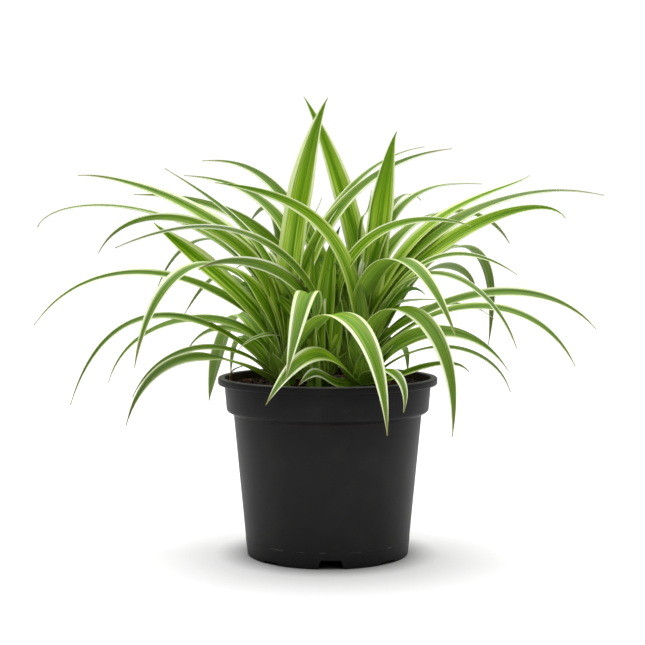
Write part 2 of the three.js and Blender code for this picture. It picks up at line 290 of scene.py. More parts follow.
@dataclass(frozen=True)
class LeafTissue:
    """A living spider plant leaf: waxy, ribbed along its length, with cream margins.

    Parallel veins catch the light as fine lines. The margins hold no green, so they are cream and let more
    light through. The base of a leaf grew in the dark of the crown and is pale. Widths are shares of the
    half width, and places along the blade are shares of its length.
    """

    grown_deep: int = 0x3A5A05
    grown: int = 0x80983C
    grown_streaks: Span = (0.36, 0.62)
    fresh_deep: int = 0x487600
    fresh: int = 0x9CC01A
    fresh_streaks: Span = (0.7, 1.18)
    streak_detail: float = 3.0
    band_stretch: tuple[float, float, float] = (0.42, 0.5, 1.7)
    band_detail: float = 1.0
    line: int = 0xC0D862
    lines: Span = (0.6, 0.72, 0.0, 0.55)
    lines_by_age: Span = (0.0, 1.0, 0.35, 1.0)
    belly_at: float = 0.52  # a young blade is palest near the middle of its length
    belly: Span = (0.34, 0.1, 0.0, 0.75)
    belly_by_age: Span = (0.85, 1.0)
    belly_streaks: Span = (0.86, 1.14)
    heart_and_groove_shade: int = 0x5C9006  # the middle holds the most green, deepened as painted shade in the fold's groove
    heart_and_groove_shade_width: Span = (0.42, 0.0, 0.0, 0.75)
    grown_tip: int = 0x5A6C34  # the blade dulls towards its tip
    fresh_tip: int = 0x4A7A06
    dull_from: Span = (0.0, 1.0, 0.45, 0.66)
    dull_by: float = 0.92
    dull_share: float = 0.55
    margin: int = 0xE9F2CC
    margin_edge: float = 0.05  # softness of the margin's edge
    margin_fray: Span = (0.0, 1.0, -0.08, 0.08)
    margin_lines: Span = (0.52, 0.7, 0.0, 0.4)
    base_margin: int = 0xC6D67E  # near the root the cream turns to a yellow green
    cream_from: Span = (0.28, 0.72)
    cream_by_age: Span = (0.5, 1.0, 1.0, 0.4)
    pinstripe: float = 0.13  # how far inside the margin a broken cream line runs
    pinstripe_width: Span = (0.05, 0.015, 0.0, 0.5)
    pinstripe_breaks: Span = (0.44, 0.6)
    sheath: int = 0x94B63A
    sheath_reach: Span = (0.3, 0.02, 0.0, 0.75)
    dry: int = 0x8A7E48
    dry_from: Span = (0.0, 1.0, 0.8, 0.96)
    dry_share: float = 0.85
    dry_by_age: Span = (0.75, 0.55)
    under: int = 0x86A04C
    under_share: float = 0.35
    under_margin: Span = (0.0, 1.0, 1.0, 0.5)  # the margins are narrower on the underside
    roughness: Span = (0.0, 1.0, 0.33, 0.49)
    gloss_by_age: Span = (0.0, 1.0, 0.3, 0.13)
    ior: float = 1.42
    vein_relief: float = 0.09  # drawn deeper than the real 0.03 so that it shows
    vein_strength: float = 0.5
    glow: float = 0.3  # how much of the light goes through the tissue
    glow_colours: tuple[float, float, float] = (0.9, 1.0, 0.35)
    light_depth: float = 0.9  # how far light goes into the tissue

    def material(self) -> Material:
        """Builds the leaf material.

        Returns:
            The material, which reads the three blade attributes.
        """
        material, tree, shader = new_material("living_leaf_tissue")
        place, look, grain = (
            add(tree, "Attribute", attribute_name=name).outputs["Vector"] for name in ATTRIBUTES
        )
        where = add(tree, "SeparateXYZ", [place]).outputs
        kind = add(tree, "SeparateXYZ", [look]).outputs
        hidden = add(tree, "MapRange", (where["Z"], *self.under_margin))

        # Streaks run the length of the blade, so the noise is read in veins across and long steps along.
        streak = add(tree, "TexNoise", {"Vector": grain, "Scale": 1.0, "Detail": self.streak_detail})
        broad = add(tree, "VectorMath", (grain, self.band_stretch), operation="MULTIPLY")
        bands = add(tree, "TexNoise", {"Vector": broad, "Scale": 1.0, "Detail": self.band_detail})
        spot = BladeSpot(
            edge=add(tree, "Math", [where["X"]], operation="ABSOLUTE"),
            along=where["Y"],
            margin=add(tree, "Math", (kind["X"], hidden), operation="MULTIPLY"),
            freshness=kind["Y"],
            streak=streak,
            bands=bands,
            both=add(tree, "Math", (streak, bands), operation="ADD"),
        )
        colour = self._ground(tree, spot)
        underside = add(tree, "Math", (where["Z"], self.under_share), operation="MULTIPLY")
        layers = (
            *self._green_layers(tree, spot),
            *self._margin_layers(tree, spot),
            *self._end_layers(tree, spot),
            (underside, linear(self.under)),
        )
        for share, over in layers:
            colour = add(tree, "Mix", (share, colour, over), data_type="RGBA")

        veins = add(tree, "SeparateXYZ", [grain]).outputs["X"]
        ridge = add(tree, "Math", (veins, math.tau), operation="MULTIPLY")
        wave = add(tree, "Math", [ridge], operation="SINE")
        relief = add(tree, "Math", (wave, streak), operation="ADD")
        bump = {"Height": relief, "Strength": self.vein_strength, "Distance": self.vein_relief * MM}
        feed(
            shader,
            {
                "Base Color": add(tree, "HueSaturation", {"Color": colour, "Value": kind["Z"]}),
                "Roughness": add(tree, "MapRange", (streak, *self.roughness)),
                "Specular IOR Level": add(tree, "MapRange", (spot.freshness, *self.gloss_by_age)),
                "Normal": add(tree, "Bump", bump),
                "IOR": self.ior,
                "Subsurface Weight": self.glow,
                "Subsurface Radius": self.glow_colours,
                "Subsurface Scale": self.light_depth * MM,
            },
        )
        return material

    def _ground(self, tree: Tree, spot: BladeSpot) -> Node:
        """Mixes the streaked greens of a mature and a young blade by the leaf's age.

        Args:
            tree: The material's node tree.
            spot: What is read of the blade.

        Returns:
            The node that gives the colour.
        """
        greens = []
        for pattern, span, deep, pale in (
            (spot.streak, self.grown_streaks, self.grown_deep, self.grown),
            (spot.both, self.fresh_streaks, self.fresh_deep, self.fresh),
        ):
            share = add(tree, "MapRange", (pattern, *span))
            greens.append(add(tree, "Mix", (share, linear(deep), linear(pale)), data_type="RGBA"))
        return add(tree, "Mix", (spot.freshness, *greens), data_type="RGBA")

    def _green_layers(self, tree: Tree, spot: BladeSpot) -> list[tuple[Node, object]]:
        """Lays pale lines, a pale belly, a deep heart that is partly painted shade, and a dull tip over the
        green.

        Args:
            tree: The material's node tree.
            spot: What is read of the blade.

        Returns:
            The share and the colour of each layer, from the lowest up.
        """
        lines = add(tree, "MapRange", (spot.streak, *self.lines))
        young = add(tree, "MapRange", (spot.freshness, *self.lines_by_age))
        lines = add(tree, "Math", (lines, young), operation="MULTIPLY")

        off = add(tree, "Math", (spot.along, self.belly_at), operation="SUBTRACT")
        off = add(tree, "Math", [off], operation="ABSOLUTE")
        belly = add(tree, "MapRange", (off, *self.belly), interpolation_type="SMOOTHSTEP")
        for value, span in ((spot.freshness, self.belly_by_age), (spot.both, self.belly_streaks)):
            share = add(tree, "MapRange", (value, *span))
            belly = add(tree, "Math", (belly, share), operation="MULTIPLY")

        heart_and_groove_shade = add(tree, "MapRange", (spot.edge, *self.heart_and_groove_shade_width), interpolation_type="SMOOTHSTEP")

        start = add(tree, "MapRange", (spot.freshness, *self.dull_from))
        dull = (spot.along, start, self.dull_by, 0.0, self.dull_share)
        dull = add(tree, "MapRange", dull, interpolation_type="SMOOTHSTEP")
        tips = (spot.freshness, linear(self.grown_tip), linear(self.fresh_tip))
        tip = add(tree, "Mix", tips, data_type="RGBA")
        return [
            (lines, linear(self.line)),
            (belly, linear(self.line)),
            (heart_and_groove_shade, linear(self.heart_and_groove_shade)),
            (dull, tip),
        ]

    def _margin_layers(self, tree: Tree, spot: BladeSpot) -> list[tuple[Node, object]]:
        """Lays a broken cream pinstripe and the cream margins over the green.

        Args:
            tree: The material's node tree.
            spot: What is read of the blade.

        Returns:
            The share and the colour of each layer, from the lowest up.
        """
        fray = add(tree, "MapRange", (spot.streak, *self.margin_fray))
        reach = add(tree, "Math", (spot.edge, fray), operation="ADD")
        start = add(tree, "Math", (1.0, spot.margin), operation="SUBTRACT")
        low = add(tree, "Math", (start, self.margin_edge), operation="SUBTRACT")
        high = add(tree, "Math", (start, self.margin_edge), operation="ADD")
        margin = add(tree, "MapRange", (reach, low, high), interpolation_type="SMOOTHSTEP")

        out = add(tree, "MapRange", (spot.along, *self.cream_from), interpolation_type="SMOOTHSTEP")
        ripe = add(tree, "MapRange", (spot.freshness, *self.cream_by_age))
        out = add(tree, "Math", (out, ripe), operation="MULTIPLY")
        creams = (out, linear(self.base_margin), linear(self.margin))
        cream = add(tree, "Mix", creams, data_type="RGBA")
        lined = add(tree, "MapRange", (spot.streak, *self.margin_lines))
        cream = add(tree, "Mix", (lined, cream, linear(self.line)), data_type="RGBA")

        inner = add(tree, "Math", (start, self.pinstripe), operation="SUBTRACT")
        off = add(tree, "Math", (reach, inner), operation="SUBTRACT")
        off = add(tree, "Math", [off], operation="ABSOLUTE")
        stripe = add(tree, "MapRange", (off, *self.pinstripe_width))
        stripe = add(tree, "Math", (out, stripe), operation="MULTIPLY")
        breaks = add(tree, "MapRange", (spot.bands, *self.pinstripe_breaks))
        stripe = add(tree, "Math", (stripe, breaks), operation="MULTIPLY")
        return [(stripe, cream), (margin, cream)]

    def _end_layers(self, tree: Tree, spot: BladeSpot) -> list[tuple[Node, object]]:
        """Pales the base and dries the last of an ageing tip.

        Args:
            tree: The material's node tree.
            spot: What is read of the blade.

        Returns:
            The share and the colour of each layer, from the lowest up.
        """
        base = add(tree, "MapRange", (spot.along, *self.sheath_reach), interpolation_type="SMOOTHSTEP")
        start = add(tree, "MapRange", (spot.bands, *self.dry_from))
        dried = add(tree, "MapRange", (spot.along, start, 1.0, 0.0, self.dry_share))
        aged = add(tree, "MapRange", (spot.freshness, *self.dry_by_age))
        dried = add(tree, "Math", (dried, aged), operation="MULTIPLY")
        return [(base, linear(self.sheath)), (dried, linear(self.dry))]


@dataclass(frozen=True)
class MouldedPolypropylene:
    """Black injection-moulded polypropylene: matt, with a soft sheen at grazing angles.

    The mould's spark-eroded texture breaks up the highlights, and handling leaves faint paler scuffs. A pale
    line just under the rim's top is a painted highlight, and the weaker reflection of the collar and lip is
    painted shade.
    """

    black: int = 0x141414
    scuff: int = 0x212120
    scuff_mm: float = 26.0
    scuff_detail: float = 6.0
    scuffs: Span = (0.5, 0.85)
    texture_mm: float = 0.55  # drawn coarser than the real 0.1 so that it shows
    texture_detail: float = 2.0
    texture_depth: float = 0.06
    texture_strength: float = 0.35
    # the paler grey of the worn mould line, also used for the painted highlight under the rim's top
    worn_and_highlight_grey: int = 0x5E5E5B
    line_edges: Pair = (0.45, 0.1)  # off the mould line, where its wear starts and is full
    line_share: float = 0.4  # the mould line is only faintly worn
    patch_mm: float = 7.8  # the wear comes in dashes of this length
    patch_detail: float = 4.0
    patches: Span = (0.52, 0.62)
    rim_highlight_edges: Pair = (0.8, 0.2)  # under the rim's top, where a paler line is painted as the rim's highlight
    rim_highlight_share: float = 0.8
    roughness: Span = (0.0, 1.0, 0.4, 0.56)
    gloss: Pair = (0.18, 0.08)  # the collar and the lip reflect less than the body, as painted shade under the leaves
    painted_shade_heights: Pair = (70.0, 118.0)  # the heights between which the painted shade weakens the reflection
    ior: float = 1.49

    def material(self) -> Material:
        """Builds the pot's material.

        Returns:
            The material.
        """
        material, tree, shader = new_material("black_moulded_polypropylene")
        place = add(tree, "TexCoord").outputs["Object"]
        skin, marks, patches = (
            add(tree, "TexNoise", {"Vector": place, "Scale": 1 / (grain * MM), "Detail": detail})
            for grain, detail in (
                (self.texture_mm, self.texture_detail),
                (self.scuff_mm, self.scuff_detail),
                (self.patch_mm, self.patch_detail),
            )
        )
        scuffed = add(tree, "MapRange", (marks, *self.scuffs))
        black = (scuffed, linear(self.black), linear(self.scuff))
        colour = add(tree, "Mix", black, data_type="RGBA")

        height = add(tree, "SeparateXYZ", [place]).outputs["Z"]
        off = add(tree, "Math", (height, MOULD_LINE * MM), operation="SUBTRACT")
        off = add(tree, "Math", [off], operation="ABSOLUTE")
        near = (off, *(edge * MM for edge in self.line_edges), 0.0, self.line_share)
        dashes = add(tree, "MapRange", (patches, *self.patches))
        dashes = add(tree, "Math", (add(tree, "MapRange", near), dashes), operation="MULTIPLY")
        # Painted highlight: a paler band just under the rim's top.
        top = (height, *((POT_HEIGHT - edge) * MM for edge in self.rim_highlight_edges), 0.0, self.rim_highlight_share)
        wear_and_rim_highlight = add(tree, "Math", (dashes, add(tree, "MapRange", top)), operation="MAXIMUM")
        # Painted shade: the reflection weakens towards the lip, under the overhanging leaves.
        dull = (height, *(edge * MM for edge in self.painted_shade_heights), *self.gloss)
        relief = {"Height": skin, "Strength": self.texture_strength, "Distance": self.texture_depth * MM}
        feed(
            shader,
            {
                "Base Color": add(tree, "Mix", (wear_and_rim_highlight, colour, linear(self.worn_and_highlight_grey)), data_type="RGBA"),
                "Roughness": add(tree, "MapRange", (marks, *self.roughness)),
                "Normal": add(tree, "Bump", relief),
                "Specular IOR Level": add(tree, "MapRange", dull),
                "IOR": self.ior,
            },
        )
        return material


@dataclass(frozen=True)
class Grit:
    """A loose matter in the potting mix, rough and without shine."""

    name: str
    dark: int
    pale: int
    grain_mm: float
    roughness: float = 0.95
    relief_mm: float = 0.35
    relief_strength: float = 0.8
    mottle: Span = (0.35, 0.7)
    gloss: float = 0.2
    detail: float = 5.0

    def material(self) -> Material:
        """Builds the material: two colours, mottled at the matter's own grain.

        Returns:
            The material.
        """
        material, tree, shader = new_material(self.name)
        place = add(tree, "TexCoord").outputs["Object"]
        size = {"Vector": place, "Scale": 1 / (self.grain_mm * MM), "Detail": self.detail}
        grain = add(tree, "TexNoise", size)
        share = add(tree, "MapRange", (grain, *self.mottle))
        colours = (share, linear(self.dark), linear(self.pale))
        relief = {"Height": grain, "Strength": self.relief_strength, "Distance": self.relief_mm * MM}
        feed(
            shader,
            {
                "Base Color": add(tree, "Mix", colours, data_type="RGBA"),
                "Normal": add(tree, "Bump", relief),
                "Roughness": self.roughness,
                "Specular IOR Level": self.gloss,
            },
        )
        return material


# Moist peat is nearly black with brown crumbs. Bark is reddish and fibrous. Perlite is white volcanic glass,
# stained by the peat. A withered leaf end is straw-coloured.
PEAT = Grit("moist_peat", 0x15100B, 0x3E2C1D, 2.2)
BARK = Grit("composted_bark", 0x3A2415, 0x7A5334, 1.6)
PERLITE = Grit("expanded_perlite", 0x6E6350, 0xC9C0AC, 1.2)
STRAW = Grit("withered_leaf", 0x7A5C30, 0xB69A62, 3.0, 0.8, 0.1)


# ---------------------------------------------------------------- leaves


class Age(Enum):
    """How old a leaf is. The values are freshness, narrowest and broadest margin, and tone."""

    FRESH = (1.0, 0.14, 0.3, 1.22)
    YOUNG = (0.85, 0.16, 0.36, 1.06)
    PRIME = (0.55, 0.12, 0.3, 1.0)
    GROWN = (0.3, 0.12, 0.32, 1.0)
    BOLD = (0.25, 0.28, 0.38, 1.05)
    # The old leaves' darker tone is partly their own darker green and partly painted shade.
    OLD = (0.2, 0.08, 0.18, 0.84)
    INNER = (0.8, -0.04, 0.05, 0.98)
    # Painted shade: leaves deep in the crown get this darker tone.
    SHADED_DEEP = (0.7, -0.1, 0.02, 0.86)


@dataclass(frozen=True)
class Leaf:
    """One strap leaf: heading and roll in degrees, the rest in millimetres.

    The midrib is a cubic curve in an upright plane through the crown. Distances out are measured from the
    crown's axis, and heights from the ground. The blade keeps its full width up to a share of its length,
    turns further by the twist towards its tip, and by the root turn below its bend. The cream margins are
    shares of the half width: first the edge that lies clockwise of the heading, then the other one.
    """

    heading: float
    reach: float
    tip_height: float
    out_1: float
    height_1: float
    out_2: float
    height_2: float
    width: float
    roll: float
    age: Age = Age.GROWN
    full_to: float = 0.5
    twist: float = 0.0
    root_turn: float = 0.0
    cream: Pair | None = None


@dataclass(frozen=True)
class Blade:
    """How every blade is shaped. Shares are of its length, from 0 at the root, or of its half width."""

    root_height: float = 117.5
    root_rise: float = 4.0
    root_offset: float = 6.5
    root_spread: float = 9.0
    root_share: float = 0.8
    full_at: float = 0.3
    taper_power: float = 1.35
    tip_width: float = 0.5
    thickness: float = 0.42
    fold: float = 0.26
    root_fold: float = 0.5
    unfolded_at: float = 0.3
    crease: float = 0.12
    arch: float = 0.1
    ripple: float = 0.45
    ripple_span: Pair = (0.1, 0.4)
    ripple_length: Pair = (60.0, 95.0)
    ripple_lag: float = 1.9  # between the ripples of the two edges, as an angle
    root_roll: float = 0.85
    roll_by: float = 0.5
    twist_span: Pair = (0.35, 0.8)
    bend_span: Pair = (0.3, 0.5)
    root_margin: float = 0.3
    margin_span: Pair = (0.2, 0.62)
    root_freshness: float = 0.75
    green_by: float = 0.8
    fresh_vary: float = 0.12
    tone_vary: float = 0.08
    grain_offset: float = 90.0
    step: float = 3.6
    fewest_steps: int = 22
    columns: int = 10
    curve_steps: int = 96
    vein_spacing: float = 1.05
    streak_length: float = 70.0

    def half_width(self, leaf: Leaf, share: float) -> float:
        """Half of the blade's width.

        Args:
            leaf: The leaf.
            share: Share of the length.

        Returns:
            The half width in millimetres.
        """
        rise = self.root_share + (1 - self.root_share) * smooth(share, 0, self.full_at)
        narrowing = max(0.0, (share - leaf.full_to) / (1 - leaf.full_to)) ** self.taper_power
        return max(self.tip_width / 2, leaf.width / 2 * rise * (1 - narrowing))

    def turn(self, leaf: Leaf, share: float) -> float:
        """Angle of the blade about its midrib.

        Args:
            leaf: The leaf.
            share: Share of the length.

        Returns:
            The angle in radians.
        """
        settled = self.root_roll + (1 - self.root_roll) * smooth(share, 0, self.roll_by)
        twist = leaf.twist * smooth(share, *self.twist_span)
        root = leaf.root_turn * (1 - smooth(share, *self.bend_span))
        return math.radians(leaf.roll * settled + twist + root)

    def lift(self, across: float, half: float, share: float, wave: float) -> float:
        """Height of the blade over its midrib, in millimetres.

        Args:
            across: From -1 at one edge to 1 at the other.
            half: Half of the width here.
            share: Share of the length.
            wave: Where the edge's ripple stands, as an angle.

        Returns:
            The lift towards the upper face.
        """
        side = abs(across)
        creased = math.sqrt(side * side + self.crease * self.crease) - self.crease
        fold = self.fold + self.root_fold * (1 - smooth(share, 0, self.unfolded_at))
        arch = self.arch * math.sin(math.pi * side)
        ripple = self.ripple * side * side * math.sin(wave + (self.ripple_lag if across > 0 else 0.0))
        return half * (fold * creased + arch) + ripple * smooth(share, *self.ripple_span) * (1 - share)


@dataclass
class Crown:
    """A rosette of leaves on a short fleshy stem, from its outermost leaf to its innermost."""

    name: str
    x: float
    y: float
    leaves: tuple[Leaf, ...]
    fillers: tuple[Leaf, ...]
    filler_order: float = 0.4
    blade: Blade = Blade()
    sharp_over: float = 50.0

    young_growth: int = 16
    young_towards: float = 90.0  # the heading that they lean to, in degrees
    young_within: float = 80.0  # how far to either side of it they may head
    young_height: float = 208.0
    young_top: Pair = (0.72, 1.0)
    young_reach: Pair = (16.0, 48.0)
    young_nod: Pair = (2.0, 16.0)
    young_lean: Pair = (-4.0, 3.0)
    young_bend: Pair = (30.0, 45.0)
    young_bend_out: float = 0.62
    young_crest: Pair = (0.0, 10.0)
    young_width: Pair = (9.0, 14.0)
    young_roll: Pair = (0.2, 0.9)
    young_order: Pair = (0.3, 0.9)

    sheaths: int = 7
    sheath_age: Age = Age.INNER
    sheath_stray: float = 0.25  # of the angle between two sheaths
    sheath_heights: Pair = (140.0, 170.0)
    sheath_reach: Pair = (12.0, 24.0)
    sheath_width: Pair = (12.0, 16.0)
    sheath_foot: Pair = (7.5, 130.0)
    sheath_shoulder: Pair = (8.5, 14.0)
    sheath_order: float = -0.14  # roots the sheaths a little outside the outermost leaf

    stem_radius: float = 6.2
    stem_foot: float = 104.0
    stem_shoulder: float = 118.0
    stem_slope: float = 8.0
    stem_slope_share: float = 0.86
    stem_top: float = 140.0
    stem_top_radius: float = 3.4
    stem_tip: float = 141.0
    stem_steps: int = 36
    ribs: int = 5
    rib_depth: float = 0.06
    rib_turn: float = 0.12  # radians that the ribs turn in each millimetre of height
    stem_paleness: float = 0.16  # the stem looks like this much of a blade's root
    stem_look: tuple[float, float, float] = (0.0, 0.5, 0.9)  # margin, freshness and tone, as a blade's
    stem_veins: float = 4.0

    def build(self, tissue: Material, number: int) -> bpy.types.Object:
        """Builds the crown's stem and leaves as one piece.

        Args:
            tissue: The leaf material.
            number: The crown's number, which seeds its random draws.

        Returns:
            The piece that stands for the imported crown.
        """
        chance = random.Random(SEED + number)
        mesh = self._new_part()
        self._add_stem(mesh)
        last = len(self.leaves) - 1
        planned = [(leaf, order / last) for order, leaf in enumerate(self.leaves)]
        planned += [(leaf, self.filler_order) for leaf in self.fillers]
        planned += [(leaf, self.sheath_order) for leaf in self._sheath_leaves(chance)]
        planned += [(leaf, chance.uniform(*self.young_order)) for leaf in self._young_leaves(chance)]
        for leaf, order in planned:
            part = self._new_part()
            self._add_blade(part, leaf, order, chance)
            merge(mesh, part)
        return place_piece(self.name + "_leaves", mesh, [tissue], "leaf", self.sharp_over, self.name)

    def _new_part(self) -> Mesh:
        """Starts an empty mesh that can hold blades.

        Returns:
            The mesh, with the three blade attributes.
        """
        part = bmesh.new()
        for name in ATTRIBUTES:
            part.verts.layers.float_vector.new(name)
        return part

    def _sheath_leaves(self, chance: random.Random) -> list[Leaf]:
        """Draws the short pale leaves that clasp the foot of the crown all round.

        Args:
            chance: The crown's random draws.

        Returns:
            The leaves.
        """
        made = []
        for i in range(self.sheaths):
            heading = 360 * (i + chance.uniform(-self.sheath_stray, self.sheath_stray)) / self.sheaths
            top = chance.uniform(*self.sheath_heights)
            reach = chance.uniform(*self.sheath_reach)
            width = chance.uniform(*self.sheath_width)
            out, drop = self.sheath_shoulder
            made.append(
                Leaf(heading, reach, top, *self.sheath_foot, out, top - drop, width, 0, self.sheath_age)
            )
        return made

    def _young_leaves(self, chance: random.Random) -> list[Leaf]:
        """Draws the short young leaves that close the middle of the crown.

        Args:
            chance: The crown's random draws.

        Returns:
            The leaves.
        """
        made = []
        for _ in range(self.young_growth):
            turned = chance.uniform(-self.young_within, self.young_within)
            top = chance.uniform(*self.young_top) * self.young_height
            reach = chance.uniform(*self.young_reach)
            young = Leaf(
                heading=self.young_towards + turned,
                reach=reach,
                tip_height=top - chance.uniform(*self.young_nod),
                out_1=chance.uniform(*self.young_lean),
                height_1=top - chance.uniform(*self.young_bend),
                out_2=reach * self.young_bend_out,
                height_2=top + chance.uniform(*self.young_crest),
                width=chance.uniform(*self.young_width),
                roll=-turned * chance.uniform(*self.young_roll),
                # some young leaves take the painted shade of leaves deep in the crown
                age=chance.choice((Age.INNER, Age.SHADED_DEEP)),
            )
            made.append(young)
        return made

    def _stations(self, leaf: Leaf, order: float, count: int) -> list[tuple[Vector, Vector]]:
        """Finds evenly spaced points of the midrib and the blade's direction there.

        Args:
            leaf: The leaf.
            order: 0 for the crown's outermost leaf and 1 for its innermost.
            count: How many steps the blade has.

        Returns:
            A point in millimetres and a unit vector towards the tip, for each station.
        """
        outward = level(math.radians(leaf.heading))
        axis = Vector((self.x, self.y, 0))
        blade = self.blade
        knots = [
            axis + outward * out + Vector((0, 0, height))
            for out, height in (
                (blade.root_offset - blade.root_spread * order, blade.root_height + blade.root_rise * order),
                (leaf.out_1, leaf.height_1),
                (leaf.out_2, leaf.height_2),
                (leaf.reach, leaf.tip_height),
            )
        ]
        fine = geometry.interpolate_bezier(*knots, blade.curve_steps)
        travelled = [0.0]
        for start, end in zip(fine, fine[1:]):
            travelled.append(travelled[-1] + (end - start).length)
        found = []
        near = 0
        for i in range(count + 1):
            goal = travelled[-1] * i / count
            while near < len(fine) - 2 and travelled[near + 1] < goal:
                near += 1
            part = (goal - travelled[near]) / (travelled[near + 1] - travelled[near])
            before = fine[max(near - 1, 0)]
            after = fine[min(near + 2, len(fine) - 1)]
            found.append((fine[near].lerp(fine[near + 1], part), (after - before).normalized()))
        return found

    def _add_blade(self, mesh: Mesh, leaf: Leaf, order: float, chance: random.Random) -> None:
        """Adds one leaf: a grid that is laid along the midrib and given its thickness.

        Args:
            mesh: The crown's mesh.
            leaf: The leaf.
            order: 0 for the crown's outermost leaf and 1 for its innermost.
            chance: The crown's random draws.
        """
        blade = self.blade
        place, look, grain = (mesh.verts.layers.float_vector[name] for name in ATTRIBUTES)
        rough = [point for point, _ in self._stations(leaf, order, blade.fewest_steps)]
        length = sum((end - start).length for start, end in zip(rough, rough[1:]))
        steps = max(blade.fewest_steps, round(length / blade.step))
        stations = self._stations(leaf, order, steps)
        fresh, *margin_range, tone_and_shade = leaf.age.value
        drawn = (chance.uniform(*margin_range), chance.uniform(*margin_range))
        margins = leaf.cream or drawn
        fresh = min(max(fresh + chance.uniform(-blade.fresh_vary, blade.fresh_vary), 0), 1)
        tone_and_shade += chance.uniform(-blade.tone_vary, blade.tone_vary)
        offset = chance.uniform(0, blade.grain_offset)
        phase = chance.uniform(0, math.tau)
        ripples = length / chance.uniform(*blade.ripple_length)

        # The flat grid runs from -0.5 to 0.5 both ways before it is laid along the midrib.
        grid = bmesh.ops.create_grid(mesh, x_segments=blade.columns, y_segments=steps, size=0.5)["verts"]
        upper = list({face for vertex in grid for face in vertex.link_faces})
        heading = math.radians(leaf.heading)
        across_plane = Vector((-math.sin(heading), math.cos(heading), 0))
        for vertex in grid:
            across = -2 * vertex.co.x
            share = min(max(vertex.co.y + 0.5, 0), 1)
            centre, along = stations[round(share * steps)]
            turn = blade.turn(leaf, share)
            side = across_plane * math.cos(turn) + along.cross(across_plane) * math.sin(turn)
            half = blade.half_width(leaf, share)
            lift = blade.lift(across, half, share, phase + math.tau * ripples * share)
            vertex.co = (centre + side * (half * across) + along.cross(side) * lift) * MM
            cream = blade.root_margin + (1 - blade.root_margin) * smooth(share, *blade.margin_span)
            greener = fresh + blade.root_freshness * (1 - smooth(share, 0, blade.green_by))
            veins = across * leaf.width / 2 / blade.vein_spacing
            vertex[place] = (across, share, 0)
            vertex[look] = (margins[across > 0] * cream, min(greener, 1), tone_and_shade)
            vertex[grain] = (veins, share * length / blade.streak_length, offset)
        for face in upper:
            face.normal_update()
        seen = len(mesh.verts)
        bmesh.ops.solidify(mesh, geom=upper, thickness=blade.thickness * MM)
        mesh.verts.ensure_lookup_table()
        for vertex in mesh.verts[seen:]:
            vertex[place] = (vertex[place].x, vertex[place].y, 1)

    def _add_stem(self, mesh: Mesh) -> None:
        """Adds the fleshy stem, ribbed by the leaf bases that clasp it.

        Args:
            mesh: The crown's mesh.
        """
        profile = [
            (0, self.stem_foot),
            (self.stem_radius, self.stem_foot),
            (self.stem_radius, self.stem_shoulder),
            (self.stem_radius * self.stem_slope_share, self.stem_shoulder + self.stem_slope),
            (self.stem_top_radius, self.stem_top),
            (0, self.stem_tip),
        ]
        axis = Vector((self.x, self.y, 0))
        made = turn_profile(mesh, profile, self.stem_steps, axis)
        place, look, grain = (mesh.verts.layers.float_vector[name] for name in ATTRIBUTES)
        for vertex in made:
            radial = vertex.co - axis * MM
            angle = math.atan2(radial.y, radial.x)
            height = radial.z / MM
            share = (height - self.stem_foot) / (self.stem_top - self.stem_foot)
            ribbed = self.rib_depth * (1 + math.sin(self.ribs * angle + height * self.rib_turn))
            vertex.co.x -= radial.x * ribbed
            vertex.co.y -= radial.y * ribbed
            vertex[place] = (0, share * self.stem_paleness, 0)
            vertex[look] = self.stem_look
            vertex[grain] = (angle * self.stem_veins, share, self.x)


LEFT_LEAVES = (
    Leaf(-137, 129, 101, 47, 145, 111, 155, 9.5, -35, Age.OLD, 0.5, 0, 30, (0.25, 0.2)),
    Leaf(-144, 115, 116, 27, 152, 94, 157, 7, -30, Age.OLD, 0.35, cream=(0.3, 0.15)),
    Leaf(-160, 144, 109, 13, 143, 110, 215, 9.5, -26, Age.OLD, 0.35, cream=(0.35, 0.2)),
    Leaf(-168, 117, 121, 7, 176, 101, 177, 11, -25, full_to=0.35, cream=(0.3, 0.15)),
    Leaf(-121, 54, 144, -50, 149, 27, 162, 5, -20, Age.YOUNG, cream=(0.5, 0.4)),
    Leaf(-56, 118, 96, 43, 193, 110, 176, 18, 5, Age.BOLD),
    Leaf(-138, 121, 136, -6, 194, 96, 244, 16, -12, Age.GROWN, 0.62, 12, -50, cream=(0.48, 0.14)),
    Leaf(-159, 167, 161, -9, 171, 116, 233, 11, -34, full_to=0.3, cream=(0.45, 0.3)),
    Leaf(-161, 88, 226, -14, 156, 87, 222, 17, -45, Age.FRESH, 0.7, -8, cream=(0.48, 0.12)),
    Leaf(-158, 126, 206, -15, 224, 101, 257, 16, -62, Age.PRIME, 0.12, 6, cream=(0.38, 0.1)),
    Leaf(-166, 162, 223, -10, 236, 148, 255, 13, -15, full_to=0.5, cream=(0.35, 0.2)),
    Leaf(178, 138, 258, -20, 225, 110, 261, 17, -38, Age.PRIME, 0.37, cream=(0.48, 0.15)),
    Leaf(159, 88, 264, -20, 210, 57, 245, 9, -26, full_to=0.3, cream=(0.3, 0.15)),
    Leaf(19, 123, 278, 11, 256, 91, 274, 13, 32, full_to=0.4, cream=(0.3, 0.2)),
    Leaf(27, 110, 280, 13, 247, 77, 275, 10, 12),
    Leaf(124, 52, 176, 0, 190, 34, 208, 12, -20),
    Leaf(54, 44, 244, 25, 238, 33, 224, 7, -40, Age.YOUNG),
    Leaf(31, 35, 311, 4, 238, 25, 296, 17, 58, Age.YOUNG, full_to=0.66, cream=(0.22, 0.36)),
)
LEFT_FILLERS = (
    Leaf(102, 44, 170, 4, 200, 28, 210, 16, -52, full_to=0.6),
    Leaf(120, 36, 198, 0, 196, 22, 218, 14, -40, Age.PRIME),
    Leaf(92, 40, 140, 10, 150, 26, 166, 16, -48, Age.PRIME),
)
